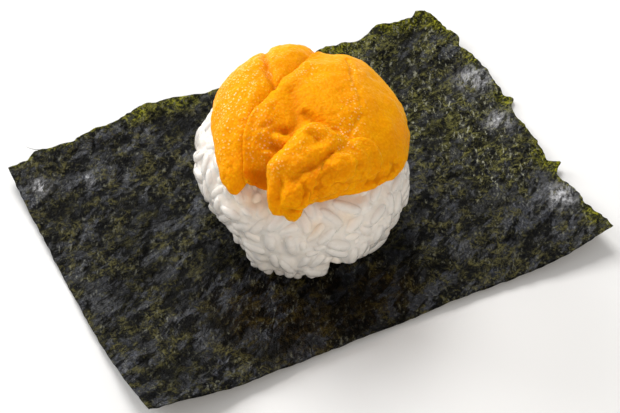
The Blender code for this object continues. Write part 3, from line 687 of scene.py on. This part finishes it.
DOME_RADIUS = 20.0
LEAST_THICKNESS = 1.3
LOBE_MIDDLE = {"left": (-8.0, 5.0, 7.0), "top": (6.0, 0.5, 8.0), "front": (3.6, -12.6, 10.4)}
LOBE_OUTLINE = {
    "left": [
        (-6.2, -3.4, 3.2), (-2.8, 3.0, 3.0), (1.4, 9.6, 3.4), (3.8, 16.6, 4.8),
        (2.6, 22.6, 8.0), (-2.0, 24.6, 8.2), (-8.5, 22.4, 5.8), (-13.6, 18.2, 3.5),
        (-16.6, 13.0, 3.3), (-18.1, 6.8, 3.4), (-18.2, 0.5, 3.7), (-17.1, -6.3, 4.0),
        (-15.4, -12.4, 4.2), (-13.3, -15.9, 4.2), (-10.9, -14.8, 3.8), (-9.0, -10.0, 3.2),
    ],
    "top": [
        (21.4, -5.0, 4.5), (21.8, 1.5, 4.3), (20.8, 7.5, 4.0), (18.6, 13.5, 3.6),
        (15.0, 19.0, 4.3), (10.0, 22.6, 5.3), (5.4, 21.4, 5.0), (2.6, 16.3, 5.6),
        (-0.2, 10.0, 6.8), (-3.4, 5.8, 6.8), (-5.8, 1.2, 7.0), (-8.1, -2.4, 7.0),
        (-9.6, -6.6, 6.6), (-9.9, -10.8, 5.4), (-10.0, -15.2, 2.6), (-5.8, -17.0, 2.8),
        (1.5, -17.6, 4.2), (9.1, -17.0, 4.4), (15.2, -14.0, 4.2), (19.6, -9.8, 3.8),
    ],
    "front": [
        (13.6, -10.0, 5.4), (12.8, -8.6, 6.2), (11.4, -7.6, 7.2), (9.6, -7.7, 8.0), (7.8, -8.2, 8.8),
        (5.6, -7.3, 9.4), (2.6, -6.2, 9.6), (-0.3, -7.4, 9.4), (-2.0, -9.2, 9.2), (-3.8, -11.2, 8.8),
        (-5.3, -12.7, 8.2), (-6.0, -15.0, 7.0), (-5.9, -17.6, 5.8), (-5.2, -20.8, 4.6), (-3.4, -21.2, 4.4),
        (-2.6, -22.0, 4.2), (-1.0, -22.2, 4.2), (0.0, -20.9, 4.4), (1.0, -19.4, 4.8), (5.0, -18.3, 5.0),
        (9.2, -15.6, 4.8), (12.0, -13.4, 4.8), (13.4, -11.6, 5.0),
    ],
}
LOBE_ROUNDNESS = {"left": 2.4, "top": 2.6, "front": 2.5}
LOBE_BENEATH = {"left": (), "top": ("left",), "front": ("left", "top")}
CREASES = {
    "left": [
        (1.0, 0.6, [(-6.4, 20.0), (-6.2, 15.0), (-6.2, 9.7), (-5.5, 6.0), (-5.0, 3.0)]),
        (0.4, 1.6, [(-6.2, 15.0), (-5.6, 6.0)]),
        (-0.3, 2.4, [(-10.5, 8.0), (-11.0, 2.0), (-12.5, -6.0)]),
        (0.5, 1.0, [(-12.8, -5.0), (-12.0, -11.0)]),
    ],
    "top": [
        (0.45, 0.45, [(8.2, 13.0), (8.6, 9.0), (9.2, 5.4)]),
        (0.22, 0.40, [(9.8, 3.0), (10.1, -1.0)]),
        (0.40, 0.55, [(9.8, -3.2), (8.8, -5.8), (8.4, -7.0)]),
        (-0.8, 1.8, [(1.0, 10.0), (-0.6, 7.4), (-3.4, 2.6), (-4.6, -0.2), (-5.8, -2.8), (-7.2, -7.2), (-7.8, -9.8)]),
        (1.2, 1.8, [(-1.6, 2.2), (-0.7, -1.6), (-0.6, -4.2), (-1.4, -7.0)]),
        (0.75, 0.8, [(-4.6, -1.8), (-3.6, -4.0), (-2.8, -6.4)]),
        (0.6, 0.8, [(-2.6, -6.4), (-4.4, -6.8)]),
        (-0.8, 1.0, [(-3.8, -8.1), (-2.8, -8.1)]),
        (0.7, 0.9, [(-2.4, -9.8), (-4.2, -10.0), (-5.6, -9.2)]),
        (0.4, 0.7, [(-5.4, -5.0), (-6.6, -5.8)]),
        (1.15, 0.8, [(1.3, -3.0), (2.1, -4.2), (3.0, -5.1)]),
        (0.4, 0.8, [(4.4, -5.4), (6.6, -6.6)]),
        (0.8, 0.8, [(12.6, -13.6), (14.2, -12.8), (16.5, -10.9), (18.4, -8.6)]),
        (3.2, 2.6, [(-10.6, -15.0), (-5.6, -15.8)]),
        (0.3, 1.6, [(13.2, 10.0), (14.0, 2.0), (13.0, -5.0)]),
    ],
    "front": [
        (0.9, 0.9, [(7.8, -9.4), (4.9, -11.3), (3.2, -12.7), (0.8, -14.2), (-0.9, -15.0)]),
        (0.4, 0.5, [(4.9, -11.3), (3.2, -12.7), (0.8, -14.2)]),
        (1.3, 0.9, [(2.0, -8.3), (3.0, -8.9)]),
        (1.0, 0.55, [(-3.0, -15.0), (-3.3, -17.8)]),
        (0.7, 0.5, [(-2.8, -19.4), (0.2, -19.5)]),
        (0.8, 0.7, [(2.0, -16.2), (3.1, -17.2)]),
        (0.6, 0.6, [(0.6, -16.0), (0.2, -17.8)]),
        (0.6, 0.8, [(6.2, -15.2), (6.9, -16.3)]),
        (0.5, 0.7, [(4.4, -14.2), (3.6, -15.8)]),
        (0.5, 0.8, [(8.6, -10.6), (9.6, -12.8)]),
        (-0.7, 1.5, [(0.2, -9.2), (-2.4, -11.6), (-4.4, -13.6), (-5.2, -16.0), (-4.6, -19.0)]),
        (-0.5, 1.1, [(1.0, -7.4), (3.2, -7.0), (5.0, -8.2)]),
        (-0.5, 1.2, [(-1.6, -16.6), (-1.4, -18.4)]),
        (-0.4, 1.3, [(7.0, -13.0), (11.6, -10.6)]),
    ],
}
# Places of glints on the roe: the coat catches the light there, and pale painted glints are added to the colour.
COAT_AND_PAINTED_GLINT_PLACES = {
    "left": [(-11.0, 9.0, 5.5), (-9.0, 16.0, 4.0), (-13.0, 1.0, 5.0), (-14.0, -6.0, 3.0), (-4.6, 14.0, 1.6)],
    "top": [(-7.0, -2.5, 2.6), (9.0, 9.0, 2.0), (9.4, 4.0, 1.8), (9.4, -0.5, 2.0), (8.6, -4.0, 2.0), (7.8, -6.6, 1.8), (-7.0, -9.0, 2.6), (1.0, 8.0, 3.0)],
    "front": [(2.6, -6.2, 2.0), (-1.6, -9.6, 2.2), (-4.2, -12.6, 1.8), (7.0, -9.0, 2.0)],
}
LUMPY = {"left": [(-13.5, -12.0, 2.0)], "top": [(13.5, -13.5, 3.2), (17.5, -10.0, 2.6), (-5.5, -8.5, 3.0)], "front": [(4.0, -16.2, 4.5), (9.5, -13.5, 3.0), (-1.0, -18.5, 2.5)]}
BRIDGE = 3.0
SINK = 0.7


def dome_point(x, y, height):
    """Point in mm, about the ball's centre, at (x, y) measured over the dome and at a height above the envelope."""
    angle = np.hypot(x, y) / DOME_RADIUS
    bearing = np.arctan2(y, x)
    directions = np.stack([np.sin(angle) * np.cos(bearing), np.sin(angle) * np.sin(bearing), np.cos(angle)], axis=-1)
    return directions * (ball_radius(directions) + height)[..., None]


def closed_curve(points, turn):
    """Closed Catmull-Rom curve through the points, read at turn from 0 to 1 once around."""
    ring = np.asarray(points, float)
    place = (turn % 1.0) * len(ring)
    index = place.astype(int) % len(ring)
    f = (place % 1.0)[..., None]
    p0, p1, p2, p3 = (ring[(index + k) % len(ring)] for k in (-1, 0, 1, 2))
    bend = (p2 - p0) * f + (2 * p0 - 5 * p1 + 4 * p2 - p3) * f**2 + (3 * p1 - p0 - 3 * p2 + p3) * f**3
    return p1 + 0.5 * bend


def nearest_on(path, x, y):
    """Distance in mm from each (x, y) to a path of straight pieces."""
    away = np.full(np.shape(x), 99.0)
    for (ax, ay), (bx, by) in zip(path[:-1], path[1:]):
        length = math.hypot(bx - ax, by - ay)
        share = np.clip(((x - ax) * (bx - ax) + (y - ay) * (by - ay)) / length**2, 0.0, 1.0)
        away = np.minimum(away, np.hypot(x - ax - share * (bx - ax), y - ay - share * (by - ay)))
    return away


def crease_depth(name, x, y):
    """Depth in mm of the lobe's creases at (x, y), below 0 on its ridges: each follows a path and has a rounded
    section of its own depth and half width."""
    wander = 0.35 * np.stack([noise(np.stack([x, y], axis=-1), 2.3, seed) for seed in (91, 92)], axis=0)
    depth = np.zeros(np.shape(x))
    for deep, half_width, path in CREASES[name]:
        depth += deep * np.exp(-((nearest_on(path, x + wander[0], y + wander[1]) / half_width) ** 2))
    return depth


def lobe_back(name, x, y, share, rim_height):
    """Heights in mm above the envelope of what the lobe lies on and of its back, where share is 0 at its middle and
    1 at its rim. The back never comes nearer than the least thickness, with a soft change where it would."""
    middle_height = LOBE_MIDDLE[name][2]
    high = middle_height + (rim_height - middle_height) * share**2 - crease_depth(name, x, y)
    base = lobe_seat(name, x, y)
    least = base + LEAST_THICKNESS
    return base, 0.5 * (high + least + np.sqrt((high - least) ** 2 + 0.5))


def outer_height(name, x, y):
    """Height in mm of the lobe's outside at (x, y), which falls to 0 over the bridge's width beyond its outline. The
    outline is read by bearing from the lobe's middle."""
    middle_x, middle_y, _ = LOBE_MIDDLE[name]
    rim = closed_curve(LOBE_OUTLINE[name], np.linspace(0.0, 1.0, 721)[:-1])
    bearing = np.arctan2(rim[:, 1] - middle_y, rim[:, 0] - middle_x)
    order = np.argsort(bearing)
    here = np.arctan2(y - middle_y, x - middle_x)
    reach = np.interp(here, bearing[order], np.hypot(rim[:, 0] - middle_x, rim[:, 1] - middle_y)[order], period=2 * math.pi)
    rim_height = np.interp(here, bearing[order], rim[order, 2], period=2 * math.pi)
    share = np.hypot(x - middle_x, y - middle_y) / reach
    held = np.clip(share, 0.0, 1.0)
    base, high = lobe_back(name, x, y, held, rim_height)
    round_off = 0.5 + 0.5 * (1.0 - held ** LOBE_ROUNDNESS[name]) ** (1.0 / LOBE_ROUNDNESS[name])
    beyond = smooth_step(1.0 - np.clip(share - 1.0, 0.0, None) * reach / BRIDGE)
    return (base + (high - base) * round_off) * beyond


def lobe_seat(name, x, y):
    """Height in mm of what the lobe lies on at or within 0.8 mm of each (x, y): the rice or the lobes beneath it."""
    seat = np.zeros_like(x)
    for beneath in LOBE_BENEATH[name]:
        for turn in range(9):
            reach = 0.8 * min(turn, 1)
            near_x = x + reach * math.cos(turn * math.pi / 4)
            near_y = y + reach * math.sin(turn * math.pi / 4)
            seat = np.maximum(seat, outer_height(beneath, near_x, near_y))
    return seat + 0.1


def pebbles(points, cell, seed):
    """Rounded grains packed at random: 1 at each grain's middle, 0 between grains, from the nearest of the points
    scattered one to a lattice cell."""
    place = np.asarray(points, float) / cell
    corner = np.floor(place)
    nearest = np.full(place.shape[:-1], 9.0)
    for bits in np.ndindex(3, 3, 3):
        near = corner + np.array(bits) - 1.0
        middle = near + np.stack([lattice_value(near, seed + k) for k in range(3)], axis=-1)
        nearest = np.minimum(nearest, ((place - middle) ** 2).sum(axis=-1))
    return np.exp(-2.2 * nearest)


def lobe_profile(name, over, under):
    """Share of the way to the rim and level, 1 on the back and 0 underneath, down a lobe's section: a superellipse
    read at even steps, close together over the back and wide apart underneath."""
    power = 2.0 / LOBE_ROUNDNESS[name]
    angle = np.linspace(0.0, math.pi, 2001)
    share = np.sin(angle) ** power
    level = 0.5 + 0.5 * np.sign(np.cos(angle)) * np.abs(np.cos(angle)) ** power
    length = np.concatenate([[0.0], np.cumsum(np.hypot(np.diff(share) * 15.0, np.diff(level) * 6.5))])
    turn_over = np.interp(0.22, level[::-1], length[::-1])
    steps = np.concatenate([np.linspace(0.0, turn_over, over + 1)[1:], np.linspace(turn_over, length[-1], under + 1)[1:-1]])
    return np.interp(steps, length, share), np.interp(steps, length, level)


def grid_normals(points):
    """Outward unit normals of a grid whose columns run around it and whose rows run from its top pole down."""
    around = np.roll(points, -1, axis=1) - np.roll(points, 1, axis=1)
    down = np.gradient(points, axis=0)
    return unit(np.cross(down, around))


def lobe_mesh(name, around, over, under, coarse):
    """A lobe draped over what lies beneath it, then roughened along its normals by lumps and by fine roe."""
    share, level = lobe_profile(name, over, under)
    turn = np.linspace(0.0, 1.0, around, endpoint=False)
    middle_x, middle_y, _ = LOBE_MIDDLE[name]
    rim = closed_curve(LOBE_OUTLINE[name], turn)
    share, level = share[:, None], level[:, None]
    x = middle_x + (rim[None, :, 0] - middle_x) * share
    y = middle_y + (rim[None, :, 1] - middle_y) * share
    base, high = lobe_back(name, x, y, share * np.ones_like(x), rim[None, :, 2])
    points = dome_point(x, y, base + (high - base) * level - SINK * (1.0 - level) ** 2)
    outward = grid_normals(points)
    exposed = smooth_step(level * 3.0)
    lumpy = nearness(LUMPY[name], x, y) * exposed
    beads = pebbles(points + 0.4 * noise(points, 1.2, 85)[..., None], 1.9, 86)
    lumps = 0.20 * noise(points, 4.2, 81) + coarse * (0.16 * noise(points, 2.1, 82) + 0.08 * noise(points, 1.1, 83))
    lumps = lumps + 0.55 * lumpy * (beads - 0.6)
    roe = 0.11 * pebbles(points, 0.66, 84)
    points = points + outward * ((lumps + roe) * exposed)[..., None]
    shades = {
        # Painted shade: creases and the seams between lumps, painted darker and redder in the colour.
        "painted_crease_shade": np.append(np.clip(crease_depth(name, x, y) / 1.8 + 0.65 * lumpy * smooth_step((0.62 - beads) / 0.30), 0.0, 1.0), [0.0, 0.0]),
        "coat_and_painted_glints": np.append(nearness(COAT_AND_PAINTED_GLINT_PLACES[name], x, y) * (level > 0.5), [0.0, 0.0]),
    }
    ends = dome_point(np.full(2, middle_x), np.full(2, middle_y), np.array([points_height(name, 1.0), points_height(name, 0.0)]))
    index = np.arange(points.shape[0] * around).reshape(-1, around)
    ahead = np.roll(index, -1, axis=1)
    quads = np.stack([index[:-1], index[1:], ahead[1:], ahead[:-1]], axis=-1).reshape(-1, 4)
    first = np.stack([np.full(around, index.size), index[0], ahead[0]], axis=-1)
    last = np.stack([np.full(around, index.size + 1), ahead[-1], index[-1]], axis=-1)
    cloud_points = np.concatenate([points.reshape(-1, 3), ends])
    return to_row(cloud_points), list(quads) + list(first) + list(last), shades


def points_height(name, level):
    """Height in mm of a lobe's middle at that level, 1 on its back and 0 underneath, where it has sunk in a little."""
    middle_x, middle_y, _ = LOBE_MIDDLE[name]
    x, y = np.array([middle_x]), np.array([middle_y])
    base, high = lobe_back(name, x, y, np.zeros(1), np.zeros(1))
    return float(base[0] + (high[0] - base[0]) * level - SINK * (1.0 - level) ** 2)


def urchin_material():
    """Orange-yellow roe: light sinks into it, and water on its grains catches the light. Its creases, the seams between
    its lumps and the gaps between its grains are painted darker and redder as shade, and pale painted glints sit on
    some grains.
    """
    material, tree, shader, coordinates = new_material("urchin")
    skin = place_node(tree, "ShaderNodeGroup", node_tree=wet_skin)
    set_sockets(tree, skin, {"Vector": coordinates, "Size": 2600.0, "Dryness": 0.30})
    painted_crease_shade = place_node(tree, "ShaderNodeAttribute", attribute_name="painted_crease_shade").outputs["Fac"]
    broad = cloud(tree, coordinates, 160.0, detail=3.0, roughness=0.6)
    roe = place_node(tree, "ShaderNodeTexVoronoi", {"Vector": coordinates, "Scale": 1750.0}).outputs
    fine = place_node(tree, "ShaderNodeTexVoronoi", {"Vector": coordinates, "Scale": 3300.0}).outputs["Distance"]
    chance = place_node(tree, "ShaderNodeSeparateColor", {"Color": roe["Color"]}).outputs
    coat_and_painted_glints = place_node(tree, "ShaderNodeAttribute", attribute_name="coat_and_painted_glints").outputs["Fac"]
    colour = blend_colour(tree, ramp(tree, broad, 0.35, 0.75), (0.925, 0.378, 0.002), (0.885, 0.322, 0.002))
    # Painted shade: darker and redder in the gaps between the roe's grains.
    colour = blend_colour(tree, arithmetic(tree, "MULTIPLY", ramp(tree, roe["Distance"], 0.30, 0.75), 0.25), colour, (0.72, 0.20, 0.002))
    # Painted shade: creases and lump seams turned darker and redder.
    colour = blend_colour(tree, arithmetic(tree, "MULTIPLY", ramp(tree, painted_crease_shade, 0.20, 1.0), 0.6), colour, (0.60, 0.14, 0.001))
    drops = arithmetic(tree, "MULTIPLY", ramp(tree, roe["Distance"], 0.42, 0.20), ramp(tree, chance[0], 0.20, 0.50))
    # Painted highlight: pale dots painted into the colour at the glint places, beside the real coat glints.
    pale = arithmetic(tree, "MULTIPLY", drops, arithmetic(tree, "MULTIPLY", coat_and_painted_glints, 0.62))
    colour = blend_colour(tree, pale, colour, (0.95, 0.66, 0.30))
    relief = arithmetic(tree, "ADD", roe["Distance"], arithmetic(tree, "MULTIPLY", fine, 0.4))
    bump = place_node(tree, "ShaderNodeBump", {"Height": relief, "Strength": 0.9, "Distance": 0.00012}, invert=True)
    set_sockets(
        tree,
        shader,
        {
            "Base Color": colour,
            "Roughness": arithmetic(tree, "ADD", skin.outputs["Roughness"], 0.12),
            "Normal": bump.outputs[0],
            "Specular IOR Level": 0.02,
            "Subsurface Weight": 0.7,
            "Subsurface Radius": (1.0, 0.50, 0.12),
            "Subsurface Scale": 0.0012,
            "Coat Weight": arithmetic(tree, "MULTIPLY", drops, arithmetic(tree, "ADD", arithmetic(tree, "MULTIPLY", coat_and_painted_glints, 0.52), 0.04)),
            "Coat Roughness": 0.10,
            "Coat IOR": 1.6,
            "Coat Normal": bump.outputs[0],
        },
    )
    return material


urchin_finish = urchin_material()
for lobe_name, mesh_size in (("left", (420, 96, 14)), ("top", (560, 118, 16)), ("front", (460, 84, 14))):
    lobe_points, lobe_faces, lobe_shades = lobe_mesh(lobe_name, *mesh_size, 2.0 if lobe_name == "front" else 1.0)
    node_name = "urchin_lobe_" + lobe_name
    new_piece("urchin_" + lobe_name, lobe_points, lobe_faces, urchin_finish, node_name, lobe_shades)

# --- Studio ---------------------------------------------------------------------------------------------------
# A plain pale floor, a large soft light high at the left and behind, a weak one from the right, and a pale sky.


def look_along(position, target):
    """Placement at a position, looking at a target, level with the floor."""
    direction = (Vector(target) - Vector(position)).to_track_quat("-Z", "Y")
    return Matrix.Translation(position) @ direction.to_matrix().to_4x4()


def soft_light(name, position, size, watts, colour):
    """A square area light aimed at the food."""
    data = bpy.data.lights.new(name, "AREA")
    data.size = size
    data.energy = watts
    data.color = colour
    light = bpy.data.objects.new(name, data)
    light.matrix_world = look_along(position, (0.0, 0.0, 0.015))
    bpy.context.scene.collection.objects.link(light)


def add_floor():
    """The pale floor that the sheet lies on."""
    half = 1.5
    mesh = bpy.data.meshes.new("floor")
    mesh.from_pydata([(-half, -half, 0.0), (half, -half, 0.0), (half, half, 0.0), (-half, half, 0.0)], [], [(0, 1, 2, 3)])
    material, tree, shader, _ = new_material("floor")
    set_sockets(tree, shader, {"Base Color": (0.9, 0.9, 0.9, 1.0), "Roughness": 0.9})
    mesh.materials.append(material)
    floor = bpy.data.objects.new("floor", mesh)
    bpy.context.scene.collection.objects.link(floor)


def add_camera():
    """A camera 316 mm away, 50 degrees above the floor and 28.3 degrees round to the left of the sheet's front."""
    azimuth, elevation, distance = math.radians(-28.3), math.radians(50.0), 0.3164
    target = Vector((-0.0005, -0.00235, 0.0))
    back = Vector((math.sin(azimuth) * math.cos(elevation), -math.cos(azimuth) * math.cos(elevation), math.sin(elevation)))
    data = bpy.data.cameras.new("camera")
    data.sensor_width = 36.0
    data.lens = 87.1
    data.clip_start = 0.01
    camera = bpy.data.objects.new("camera", data)
    camera.matrix_world = look_along(target + back * distance, target)
    bpy.context.scene.collection.objects.link(camera)
    bpy.context.scene.camera = camera


add_floor()
add_camera()
soft_light("key", (0.09, 0.53, 0.60), 0.36, 4.6, (1.0, 0.99, 0.97))
soft_light("side", (-0.36, 0.60, 0.32), 0.30, 2.9, (0.98, 0.99, 1.0))
soft_light("fill", (-0.10, -0.60, 0.45), 0.7, 1.7, (1.0, 0.91, 0.80))
sky = bpy.data.worlds.new("sky")
sky.use_nodes = True
sky.node_tree.nodes["Background"].inputs["Color"].default_value = (1.0, 1.0, 1.0, 1.0)
sky.node_tree.nodes["Background"].inputs["Strength"].default_value = 0.38
bpy.context.scene.world = sky
bpy.context.scene.view_settings.view_transform = "Standard"
